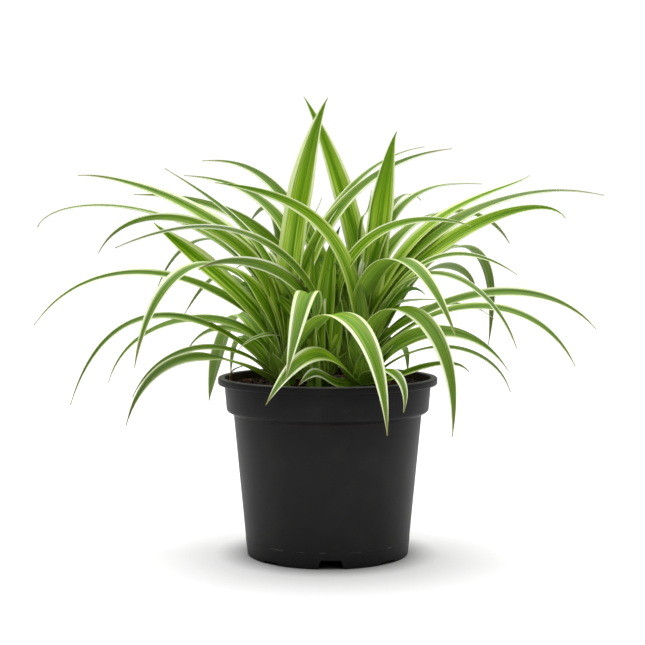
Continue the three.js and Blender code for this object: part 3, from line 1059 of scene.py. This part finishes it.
RIGHT_LEAVES = (
    Leaf(-127, 67, 123, 48, 119, 43, 139, 11, -45, Age.BOLD),
    Leaf(-72, 80, 108, 17, 134, 98, 140, 11, 0, Age.BOLD),
    Leaf(-42, 90, 132, 21, 118, 74, 147, 9, 30),
    Leaf(-33, 111, 119, 42, 158, 100, 151, 6.5, 14, Age.OLD),
    Leaf(-125, 105, 114, 17, 118, 44, 173, 12, -42, Age.BOLD),
    Leaf(-57, 100, 94, -2, 196, 111, 184, 15, 8, Age.BOLD, cream=(0.26, 0.18)),
    Leaf(-19, 144, 134, 19, 170, 112, 198, 13, 14, full_to=0.46, twist=16, cream=(0.15, 0.34)),
    Leaf(-4, 156, 156, -11, 150, 104, 215, 13, 16, full_to=0.55, twist=18, cream=(0.12, 0.38)),
    Leaf(18, 98, 160, 12, 165, 69, 185, 9, 15),
    Leaf(30, 72, 173, 3, 173, 26, 176, 10, 2),
    Leaf(-57, 103, 156, -20, 179, 42, 249, 18, 0, Age.PRIME, cream=(0.18, 0.34)),
    Leaf(-34, 116, 147, 17, 228, 97, 196, 13, 19, full_to=0.65, twist=-22, cream=(0.15, 0.25)),
    Leaf(-32, 114, 193, 1, 163, 47, 235, 10, 30, full_to=0.28, twist=12),
    Leaf(-6, 135, 229, -3, 199, 117, 257, 17, 32, Age.YOUNG, 0.38, 22, cream=(0.14, 0.14)),
    Leaf(5, 165.5, 245, -13, 183, 76, 263, 15, 26, full_to=0.6, twist=-12, cream=(0.2, 0.14)),
    Leaf(15, 121, 259, 7, 239, 102, 245, 12, 19, Age.YOUNG, full_to=0.62, cream=(0.14, 0.5)),
    Leaf(32, 102, 254, 3, 244, 44, 255, 12, 5, full_to=0.55, cream=(0.15, 0.4)),
    Leaf(-152, 106, 251, 0, 206, 24, 243, 16, -66, Age.YOUNG, full_to=0.28, cream=(0.2, 0.3)),
    Leaf(76, 42, 188, 0, 190, 28, 208, 12, 10),
    Leaf(39, 32, 288, 9, 155, 22, 277, 18, 24, Age.YOUNG, full_to=0.68, cream=(0.14, 0.16)),
    Leaf(-12, 74, 224, -42, 190, 10, 244, 12, 42, Age.PRIME),
)
RIGHT_FILLERS = (
    Leaf(-112, 11, 152, 9, 128, 10, 142, 18, -8, Age.INNER),
    Leaf(-66, 13, 146, 9, 128, 11, 138, 17, 12, Age.INNER),
    Leaf(-150, 16, 178, 8, 136, 11, 164, 15, -50, Age.INNER),
    Leaf(-100, 14, 192, 3, 150, 4, 176, 15, -4, Age.INNER),
    Leaf(-175, 16, 160, 9, 128, 13, 145, 16, -60, Age.INNER),
    Leaf(78, 46, 172, 4, 205, 30, 214, 16, 52, full_to=0.6),
    Leaf(60, 36, 204, 0, 200, 22, 222, 14, 40, Age.PRIME),
    Leaf(88, 40, 142, 10, 152, 26, 168, 16, 48, Age.PRIME),
)
FRONT_LEAVES = (
    Leaf(-107, 69, 129, 14, 194, 17, 204, 15, 0, Age.BOLD, root_turn=-75),
    Leaf(-144, 93, 196, -19, 201, 74, 210, 13, -55, Age.OLD, cream=(0.34, 0.08)),
    Leaf(-156, 139, 210, -24, 142, 15, 262, 12, -40, Age.OLD, 0.34, 15, cream=(0.42, 0.12)),
    Leaf(84, 34, 196, -2, 168, 20, 196, 10, -20),
)
# Most of these fillers sit deep in the crown and take its painted shade.
FRONT_FILLERS = (
    Leaf(20, 18, 178, 9, 142, 12, 164, 13, 60, Age.SHADED_DEEP),
    Leaf(40, 27, 196, 9, 150, 17, 178, 14, 42, Age.SHADED_DEEP),
    Leaf(62, 31, 224, 4, 168, 12, 206, 14, 22, Age.INNER),
    Leaf(100, 22, 214, 3, 160, 9, 196, 14, 8, Age.SHADED_DEEP),
    Leaf(128, 25, 204, 8, 150, 16, 186, 13, -30, Age.SHADED_DEEP),
    Leaf(155, 20, 172, 9, 140, 13, 160, 13, -58, Age.SHADED_DEEP),
    Leaf(75, 44, 163, 9, 150, 28, 172, 13, 10, Age.SHADED_DEEP),
    Leaf(50, 40, 150, 10, 140, 26, 158, 13, 20, Age.SHADED_DEEP),
    Leaf(112, 42, 150, 10, 142, 26, 160, 13, -10, Age.SHADED_DEEP),
    Leaf(58, 30, 172, 10, 128, 22, 150, 16, 30, Age.SHADED_DEEP),
    Leaf(66, 34, 216, 6, 150, 24, 196, 15, 10, Age.INNER, full_to=0.72),
)
BACK_LEFT_LEAVES = (
    Leaf(130, 75, 114, 28, 130, 71, 172, 11, -10),
    Leaf(130, 103, 92, 36, 118, 63, 226, 15, -10, full_to=0.75),
    Leaf(96, 78, 120, 20, 160, 68, 180, 13, 0, Age.BOLD),
    Leaf(175, 78, 132, 15, 150, 62, 168, 10, -25, Age.OLD),
    Leaf(141, 108, 158, 46, 179, 59, 219, 11, 0, Age.OLD),
    Leaf(146, 126, 177, 6, 220, 94, 245, 12, 0, Age.OLD),
    Leaf(108, 76, 172, 0, 205, 58, 226, 14, 0),
    Leaf(171, 116, 247, -20, 181, 10, 246, 12, -40),
    Leaf(117, 76, 227, 24, 236, 31, 254, 10, 20, Age.OLD),
    Leaf(84, 68, 214, -8, 214, 44, 246, 13, 0, Age.BOLD),
    Leaf(161, 84, 261, -20, 211, 10, 255, 14, -25),
    Leaf(-80, 20, 266, -6, 205, 14, 250, 12, 0, Age.YOUNG),
)
BACK_LEFT_FILLERS = (
    Leaf(-98, 42, 178, 3, 196, 26, 210, 16, 52, full_to=0.6),
    Leaf(-122, 32, 204, 0, 198, 18, 220, 14, 40, Age.PRIME),
    Leaf(-88, 40, 146, 10, 152, 26, 170, 16, 48, Age.PRIME),
)
BACK_RIGHT_LEAVES = (
    Leaf(62, 73, 114, 22, 124, 77, 158, 10, 0),
    Leaf(22, 116, 118, 20, 153, 82, 163, 13, 38, full_to=0.6),
    Leaf(86, 78, 124, 24, 158, 70, 178, 12, 0, Age.BOLD),
    Leaf(40, 113, 177, 9, 185, 91, 217, 15, -12, Age.OLD, full_to=0.65, twist=-10),
    Leaf(38, 122, 135, 38, 219, 142, 252, 14, 0, Age.OLD, full_to=0.6),
    Leaf(72, 80, 168, -2, 200, 62, 222, 14, 0),
    Leaf(23, 117, 212, -12, 237, 88, 258, 17, 6, full_to=0.62, twist=-14),
    Leaf(100, 70, 190, -4, 222, 50, 236, 12, 0, Age.BOLD),
    Leaf(161, 124, 272, 44, 242, 72, 274, 15, -30),
    Leaf(54, 74, 244, -8, 220, 44, 262, 13, 0),
    Leaf(67, 13, 250, -20, 280, 2, 206, 7, -30, Age.YOUNG),
    Leaf(118, 40, 262, -10, 210, 22, 256, 12, 0),
    Leaf(-172, 43, 314, -6, 210, 33, 300, 16, -75, Age.YOUNG, full_to=0.64, cream=(0.28, 0.22)),
)
BACK_RIGHT_FILLERS = (
    Leaf(-84, 42, 180, 3, 198, 26, 212, 16, -52, full_to=0.6),
    Leaf(-60, 32, 202, 0, 196, 18, 218, 14, -40, Age.PRIME),
    Leaf(-92, 40, 148, 10, 154, 26, 172, 16, -48, Age.PRIME),
)

CROWNS = (
    Crown("crown_left", -30, -16, LEFT_LEAVES, LEFT_FILLERS),
    Crown("crown_right", 22, -20, RIGHT_LEAVES, RIGHT_FILLERS),
    Crown(
        "crown_front",
        -6,
        -28,
        FRONT_LEAVES,
        FRONT_FILLERS,
        # painted shade: the sheaths at this crown's foot take the darker tone of leaves deep in it
        sheath_age=Age.SHADED_DEEP,
        sheath_heights=(130.0, 148.0),
    ),
    Crown(
        "crown_back_left",
        -24,
        33,
        BACK_LEFT_LEAVES,
        BACK_LEFT_FILLERS,
        young_towards=-90.0,
        young_reach=(12.0, 34.0),
    ),
    Crown(
        "crown_back_right",
        26,
        31,
        BACK_RIGHT_LEAVES,
        BACK_RIGHT_FILLERS,
        young_towards=-90.0,
        young_reach=(12.0, 34.0),
    ),
)


# ---------------------------------------------------------------- pot


@dataclass
class NurseryPot:
    """The moulded pot: a lip, a collar band, a tapered body and a notched foot ring."""

    height: float = POT_HEIGHT
    lip_radius: float = 75.0
    lip_height: float = 4.9
    lip_round: float = 1.1
    mouth_radius: float = MOUTH_RADIUS
    collar_top_radius: float = 70.6
    collar_foot_radius: float = 69.2
    collar_foot: float = 97.6
    collar_round: float = 2.6
    collar_from: float = -85.0  # the angle at which the collar's foot starts to round
    body_top_radius: float = 64.3
    body_top: float = 95.6
    foot_radius: float = 55.4
    foot_width: float = 3.4
    foot_ease: float = 0.6
    foot_rise: float = 6.6
    floor_top: float = 8.2
    floor_ease: float = 1.2
    wall: float = 1.4
    mould_line: float = MOULD_LINE
    mould_step: float = 0.14
    sides: int = 160
    arc_steps: int = 5
    sharp_over: float = 28.0

    notches: int = 4
    notch_width: float = 18.0
    notch_draft: float = 4.6
    notch_height: float = 6.0
    notch_azimuth: float = 272.0
    slit_width: float = 12.6
    slit_height: float = 1.8
    slit_azimuth: float = 317.0
    cut_depth: float = 12.0
    cut_overrun: float = 1.0
    drains: int = 8
    drain_radius: float = 4.5
    drain_ring: float = 39.0
    drain_sides: int = 32
    clean_rim: float = 2.4  # the mix stains the wall inside up to this far under the rim

    def _arc(self, radius: float, height: float, size: float, start: float, end: float) -> list[Pair]:
        """Points of a rounded corner.

        Args:
            radius: The corner's centre, from the pot's axis.
            height: The corner's centre, from the ground.
            size: The corner's own radius.
            start: The first angle, in degrees.
            end: The last angle, in degrees.

        Returns:
            The points, as radius and height.
        """
        turns = [math.radians(start + (end - start) * i / self.arc_steps) for i in range(self.arc_steps + 1)]
        return [(radius + size * math.cos(turn), height + size * math.sin(turn)) for turn in turns]

    def _wall_radius(self, height: float) -> float:
        """The body's outer radius at a height."""
        share = (height - self.foot_ease) / (self.body_top - self.foot_ease)
        return self.foot_radius + (self.body_top_radius - self.foot_radius) * share

    def profile(self) -> list[Pair]:
        """The pot's section, from the underside of the floor round the wall to the floor inside.

        Returns:
            Radius and height of each point, in millimetres.
        """
        inner_foot = self.foot_radius - self.foot_width
        lip_foot = self.height - self.lip_height
        size, collar, line, half_up = self.lip_round, self.collar_round, self.mould_line, self.body_top / 2
        return [
            (0, self.foot_rise),
            (inner_foot - self.foot_ease, self.foot_rise),
            (inner_foot, self.foot_rise - self.foot_ease),
            (inner_foot, 0),
            (self.foot_radius - self.foot_ease, 0),
            (self.foot_radius, self.foot_ease),
            (self._wall_radius(line), line),
            (self._wall_radius(line) - self.mould_step, line + self.mould_step),
            (self._wall_radius(half_up) - self.mould_step / 2, half_up),
            (self.body_top_radius, self.body_top),
            *self._arc(
                self.collar_foot_radius - collar, self.collar_foot + collar, collar, self.collar_from, 0
            ),
            (self.collar_top_radius, lip_foot),
            *self._arc(self.lip_radius - size, lip_foot + size, size, -90, 0),
            *self._arc(self.lip_radius - size, self.height - size, size, 0, 90),
            *self._arc(self.mouth_radius + size, self.height - size, size, 90, 180),
            (self.mouth_radius - self.wall, lip_foot),
            (self.collar_foot_radius - self.wall, self.collar_foot + self.wall),
            (self.body_top_radius - self.wall, self.body_top - self.wall),
            (self.foot_radius - self.wall, self.floor_top + self.floor_ease),
            (self.foot_radius - self.wall - self.floor_ease, self.floor_top),
            (0, self.floor_top),
        ]

    def _cutters(self) -> Mesh:
        """Makes one body of everything that is cut out of the foot and the floor.

        Returns:
            The cutter's mesh.
        """
        mesh = bmesh.new()
        for width, height, azimuth, draft in (
            (self.notch_width, self.notch_height, self.notch_azimuth, self.notch_draft),
            (self.slit_width, self.slit_height, self.slit_azimuth, 0.0),
        ):
            tall = height + self.cut_overrun
            size = Matrix.Diagonal((self.cut_depth, width, tall, 1))
            out = Matrix.Translation((self.foot_radius - self.foot_width / 2, 0, height - tall / 2))
            for i in range(self.notches):
                made = bmesh.ops.create_cube(mesh, size=1)["verts"]
                turn = Matrix.Rotation(math.radians(azimuth + 360 / self.notches * i), 4, "Z")
                for vertex in made:
                    if vertex.co.z > 0:
                        vertex.co.y *= 1 - draft / width
                bmesh.ops.transform(mesh, matrix=TO_METRES @ turn @ out @ size, verts=made)
        out = Matrix.Translation((self.drain_ring, 0, (self.floor_top + self.foot_rise) / 2))
        for i in range(self.drains):
            turn = Matrix.Rotation(math.tau * (i + 0.5) / self.drains, 4, "Z")
            bmesh.ops.create_cone(
                mesh,
                cap_ends=True,
                segments=self.drain_sides,
                radius1=self.drain_radius,
                radius2=self.drain_radius,
                depth=self.floor_top - self.foot_rise + 2 * self.cut_overrun,
                matrix=TO_METRES @ turn @ out,
            )
        return mesh

    def build(self, plastic: Material, stain: Material) -> bpy.types.Object:
        """Builds the pot.

        Args:
            plastic: The pot's material.
            stain: The mix that clings to the wall inside.

        Returns:
            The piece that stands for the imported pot.
        """
        mesh = bmesh.new()
        turn_profile(mesh, self.profile(), self.sides)
        blank = new_object("pot_blank", mesh)
        cutter = new_object("foot_cuts", self._cutters())
        cut = blank.modifiers.new("cuts", "BOOLEAN")
        cut.operation = "DIFFERENCE"
        cut.solver = "EXACT"
        cut.object = cutter
        shown = blank.evaluated_get(bpy.context.evaluated_depsgraph_get())
        finished = bmesh.new()
        finished.from_mesh(shown.to_mesh())
        for helper in (blank, cutter):
            bpy.data.objects.remove(helper)
        for face in finished.faces:
            centre = face.calc_center_median()
            inward = face.normal.x * centre.x + face.normal.y * centre.y < 0
            if inward and self.floor_top * MM < centre.z < (self.height - self.clean_rim) * MM:
                face.material_index = 1
        return place_piece(
            "nursery_pot", finished, [plastic, stain], "pot_plastic", self.sharp_over, "pot"
        )


# ---------------------------------------------------------------- potting mix


@dataclass(frozen=True)
class Bits:
    """One kind of bit on the mix: how many, how large, and its shape as shares of its size."""

    count: int
    sizes: Pair
    shape: tuple[float, float, float]


@dataclass
class PottingMix:
    """The peat mix that fills the pot, with crumbs, bark and perlite lying on it."""

    edge_height: float = 113.6
    mound_height: float = 117.2
    mound_radius: float = 22.0
    mouth_radius: float = MOUTH_RADIUS
    wall_gap: float = 2.0
    floor_height: float = 8.6
    foot_radius: float = 53.4
    body_radius: float = 62.5
    body_height: float = 94.2
    collar_radius: float = 67.4
    collar_height: float = 99.4
    rings: int = 44
    sides: int = 150
    bank: float = 2.4
    bank_from: float = 46.0
    lump: float = 0.9
    lump_size: float = 9.0
    lump_layer: float = 3.0  # the height at which the solid noise is read
    crumb: float = 1.3
    crumb_size: float = 3.2
    crumb_layer: float = 9.0
    crumb_fractal: tuple[float, float, int] = (0.9, 2.1, 3)
    settled: float = 0.4
    sharp_over: float = 80.0

    bits: tuple[Bits, ...] = (
        Bits(1500, (0.6, 1.9), (1.0, 0.9, 0.75)),  # crumbs
        Bits(190, (1.2, 3.2), (1.0, 0.55, 0.28)),  # bark
        Bits(45, (0.6, 1.3), (1.0, 0.95, 0.85)),  # perlite
    )
    bits_clear: float = 5.0  # how far they keep from the mouth's edge
    bits_tilt: float = 0.5
    bits_rough: Pair = (0.7, 1.15)
    bits_sunk: float = 0.2
    bits_sharp_over: float = 30.0

    fibres: int = 26
    fibres_clear: float = 12.0
    fibre_reach: Pair = (5.0, 12.0)
    fibre_bow: float = 0.6
    fibre_lift: Pair = (0.5, 3.0)
    fibre_handles: tuple[Pair, ...] = ((-0.5, 0), (-0.2, 1), (0.2, 1), (0.5, 0))  # along, and bent or not
    fibre_radius: float = 0.45
    fibre_taper: float = 0.95
    rim_fibre_radius: float = 0.8
    fibre_sides: int = 6
    fibre_steps: int = 14
    # The curve handles of the one fibre that hangs over the rim.
    rim_fibre: tuple[tuple[float, float, float], ...] = (
        (-65.0, -14.0, 115.0),
        (-67.5, -14.0, 127.0),
        (-65.0, -14.0, 127.0),
        (-57.0, -14.0, 130.0),
    )

    def height_at(self, x: float, y: float) -> float:
        """Height of the mix's surface.

        Args:
            x: Place in millimetres.
            y: Place in millimetres.

        Returns:
            The height in millimetres.
        """
        radius = math.hypot(x, y)
        rise = 1 - smooth(radius, self.mound_radius, self.mouth_radius)
        base = self.edge_height + (self.mound_height - self.edge_height) * rise
        base += self.bank * smooth(radius, self.bank_from, self.mouth_radius - self.wall_gap)
        lumps = self.lump * noise.noise(Vector((x, y, self.lump_layer)) / self.lump_size)
        place = Vector((x, y, self.crumb_layer)) / self.crumb_size
        crumbs = self.crumb * noise.fractal(place, *self.crumb_fractal)
        return base + lumps + crumbs - self.settled

    def build(self, peat: Material) -> bpy.types.Object:
        """Builds the body of the mix with its crumbly surface.

        Args:
            peat: Its material.

        Returns:
            The piece that stands for the packed soil.
        """
        edge = self.mouth_radius - self.wall_gap
        profile = [
            (0, self.floor_height),
            (self.foot_radius, self.floor_height),
            (self.body_radius, self.body_height),
            (self.collar_radius, self.collar_height),
            *((edge * (1 - i / self.rings), self.mound_height) for i in range(self.rings + 1)),
        ]
        mesh = bmesh.new()
        for vertex in turn_profile(mesh, profile, self.sides):
            if vertex.co.z > self.edge_height * MM:
                vertex.co.z = self.height_at(vertex.co.x / MM, vertex.co.y / MM) * MM
        return place_piece("potting_mix", mesh, [peat], "potting_soil", self.sharp_over, "soil")

    def _draw_place(self, chance: random.Random, clear: float) -> Pair:
        """Draws a place on the mix.

        Args:
            chance: The random draws.
            clear: How far the place keeps from the mouth's edge, in millimetres.

        Returns:
            The place in millimetres.
        """
        radius = (self.mouth_radius - clear) * math.sqrt(chance.random())
        angle = chance.uniform(0, math.tau)
        return radius * math.cos(angle), radius * math.sin(angle)

    def _loose_fibres(self, chance: random.Random) -> list[list[Vector]]:
        """Draws the curve handles of the dry rootlets that lie on the mix.

        Args:
            chance: The random draws.

        Returns:
            Four handles in millimetres for each rootlet.
        """
        made = []
        for _ in range(self.fibres):
            place = Vector((*self._draw_place(chance, self.fibres_clear), 0))
            reach = level(chance.uniform(0, math.tau)) * chance.uniform(*self.fibre_reach)
            bow = Vector((-reach.y, reach.x, 0)) * chance.uniform(-self.fibre_bow, self.fibre_bow)
            base = self.height_at(place.x, place.y)
            lift = chance.uniform(*self.fibre_lift)
            made.append(
                [
                    place + reach * along + bow * bent + Vector((0, 0, base + lift * bent))
                    for along, bent in self.fibre_handles
                ]
            )
        return made

    def _lay_fibre(self, handles: Sequence[Sequence[float]], radius: float, number: int) -> Mesh:
        """Draws one round fibre along a curve.

        Args:
            handles: The curve's four handles in millimetres.
            radius: The fibre's first radius, which lessens along it.
            number: The fibre's material number.

        Returns:
            The fibre as a mesh of its own.
        """
        part = bmesh.new()
        points = geometry.interpolate_bezier(*(Vector(h) for h in handles), self.fibre_steps + 1)
        ways = [(b - a).to_track_quat("Z", "Y").to_matrix().to_4x4() for a, b in zip(points, points[1:])]
        start = TO_METRES @ Matrix.Translation(points[0]) @ ways[0]
        ring = bmesh.ops.create_circle(
            part, cap_ends=True, segments=self.fibre_sides, radius=radius, matrix=start
        )["verts"]
        face = ring[0].link_faces[0]
        for i, way in enumerate(ways):
            made = bmesh.ops.extrude_face_region(part, geom=[face])["geom"]
            face = next(item for item in made if isinstance(item, bmesh.types.BMFace))
            before = TO_METRES @ Matrix.Translation(points[i]) @ ways[max(i - 1, 0)]
            after = TO_METRES @ Matrix.Translation(points[i + 1]) @ way
            moved = after @ Matrix.Scale(self.fibre_taper, 4) @ before.inverted()
            bmesh.ops.transform(part, matrix=moved, verts=list(face.verts))
        for item in part.faces:
            item.material_index = number
        bmesh.ops.recalc_face_normals(part, faces=list(part.faces))
        return part

    def scatter(self, materials: Sequence[Material]) -> bpy.types.Object:
        """Strews crumbs, bark, perlite and dry fibres over the surface.

        Args:
            materials: The materials of the crumbs, the bark, the perlite and the fibres.

        Returns:
            The piece that holds them.
        """
        chance = random.Random(SEED)
        mesh = bmesh.new()
        for number, kind in enumerate(self.bits):
            for _ in range(kind.count):
                x, y = self._draw_place(chance, self.bits_clear)
                size = chance.uniform(*kind.sizes)
                turn = Matrix.Rotation(chance.uniform(0, math.tau), 4, "Z")
                tilt = Matrix.Rotation(chance.uniform(-self.bits_tilt, self.bits_tilt), 4, "X")
                centre = Matrix.Translation((x, y, self.height_at(x, y) + size * self.bits_sunk))
                scale = Matrix.Diagonal((*(size * share for share in kind.shape), 1))
                part = bmesh.new()
                made = bmesh.ops.create_icosphere(part, subdivisions=1, radius=1)["verts"]
                for vertex in made:
                    vertex.co *= chance.uniform(*self.bits_rough)
                moved = TO_METRES @ centre @ (turn @ tilt) @ scale
                bmesh.ops.transform(part, matrix=moved, verts=made)
                for face in part.faces:
                    face.material_index = number
                merge(mesh, part)
        strands = [(self.rim_fibre, self.rim_fibre_radius)]
        strands += [(fibre, self.fibre_radius) for fibre in self._loose_fibres(chance)]
        for handles, radius in strands:
            merge(mesh, self._lay_fibre(handles, radius, len(self.bits)))
        return place_piece("mix_crumbs", mesh, materials, "potting_soil", self.bits_sharp_over)


# ---------------------------------------------------------------- studio


@dataclass
class Studio:
    """A plain white floor under soft light, seen from where the photograph was taken."""

    camera_place: tuple[float, float, float] = (-3.5, -1000.0, 217.2)
    camera_aim: tuple[float, float, float] = (-3.54, 0.0, 158.3)
    lens: float = 81.8
    sensor: float = 36.0
    floor_size: float = 40000.0
    white: int = 0xFFFFFF
    paper: int = 0xF8F8F8
    paper_roughness: float = 0.9
    paper_gloss: float = 0.1
    contact_shadow_reach: float = 23.0  # painted contact shadow: the paper darkens this near to the foot of the pot
    contact_shadow_samples: int = 8
    sky: float = 0.42
    backdrop: float = 1.05
    sun: float = 3.5
    sun_softness: float = 80.0
    sun_tilt: tuple[float, float, float] = (-12.0, 0.0, 0.0)

    def build(self) -> None:
        """Sets up the floor, the light and the camera."""
        self._lay_floor()
        self._light()
        self._place_camera()

    def _lay_floor(self) -> None:
        """Lays a plain floor of white paper, with a painted contact shadow near the foot of the pot."""
        mesh = bmesh.new()
        bmesh.ops.create_grid(mesh, x_segments=1, y_segments=1, size=self.floor_size / 2 * MM)
        material, tree, shader = new_material("matt_white_paper")
        # Painted contact shadow: ambient occlusion darkens the paper's colour near the pot.
        painted_contact_shadow = {"Color": linear(self.paper), "Distance": self.contact_shadow_reach * MM}
        feed(
            shader,
            {
                "Base Color": add(tree, "AmbientOcclusion", painted_contact_shadow, samples=self.contact_shadow_samples),
                "Roughness": self.paper_roughness,
                "Specular IOR Level": self.paper_gloss,
            },
        )
        floor = new_object("floor", mesh)
        floor.data.materials.append(material)

    def _light(self) -> None:
        """Lights the plant with an even white sky and one broad soft light from above."""
        world = bpy.data.worlds.new("white_studio")
        bpy.context.scene.world = world
        world.use_nodes = True
        tree = world.node_tree
        path = add(tree, "LightPath").outputs["Is Camera Ray"]
        strength = add(tree, "MapRange", (path, 0.0, 1.0, self.sky, self.backdrop))
        feed(tree.nodes["Background"], {"Color": linear(self.white), "Strength": strength})
        lamp = bpy.data.lights.new("overhead", "SUN")
        lamp.energy = self.sun
        lamp.angle = math.radians(self.sun_softness)
        new_object("overhead", lamp).rotation_euler = [math.radians(angle) for angle in self.sun_tilt]
        bpy.context.scene.view_settings.view_transform = "Standard"

    def _place_camera(self) -> None:
        """Places the camera at the photograph's viewpoint."""
        data = bpy.data.cameras.new("camera")
        data.lens = self.lens
        data.sensor_width = self.sensor
        data.dof.use_dof = False
        camera = new_object("camera", data)
        camera.location = Vector(self.camera_place) * MM
        aim = Vector(self.camera_aim) * MM - camera.location
        camera.rotation_euler = aim.to_track_quat("-Z", "Y").to_euler()
        bpy.context.scene.camera = camera


def main() -> None:
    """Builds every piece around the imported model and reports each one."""
    logging.basicConfig(level=logging.INFO, format="%(name)s: %(message)s")
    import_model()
    Studio().build()
    peat = PEAT.material()
    mix = PottingMix()
    pieces = [
        NurseryPot().build(MouldedPolypropylene().material(), peat),
        mix.build(peat),
        mix.scatter([peat, BARK.material(), PERLITE.material(), STRAW.material()]),
    ]
    tissue = LeafTissue().material()
    pieces += [crown.build(tissue, number) for number, crown in enumerate(CROWNS)]
    for piece in pieces:
        log.info("%s: %d faces", piece.name, len(piece.data.polygons))


if __name__ == "__main__":
    main()
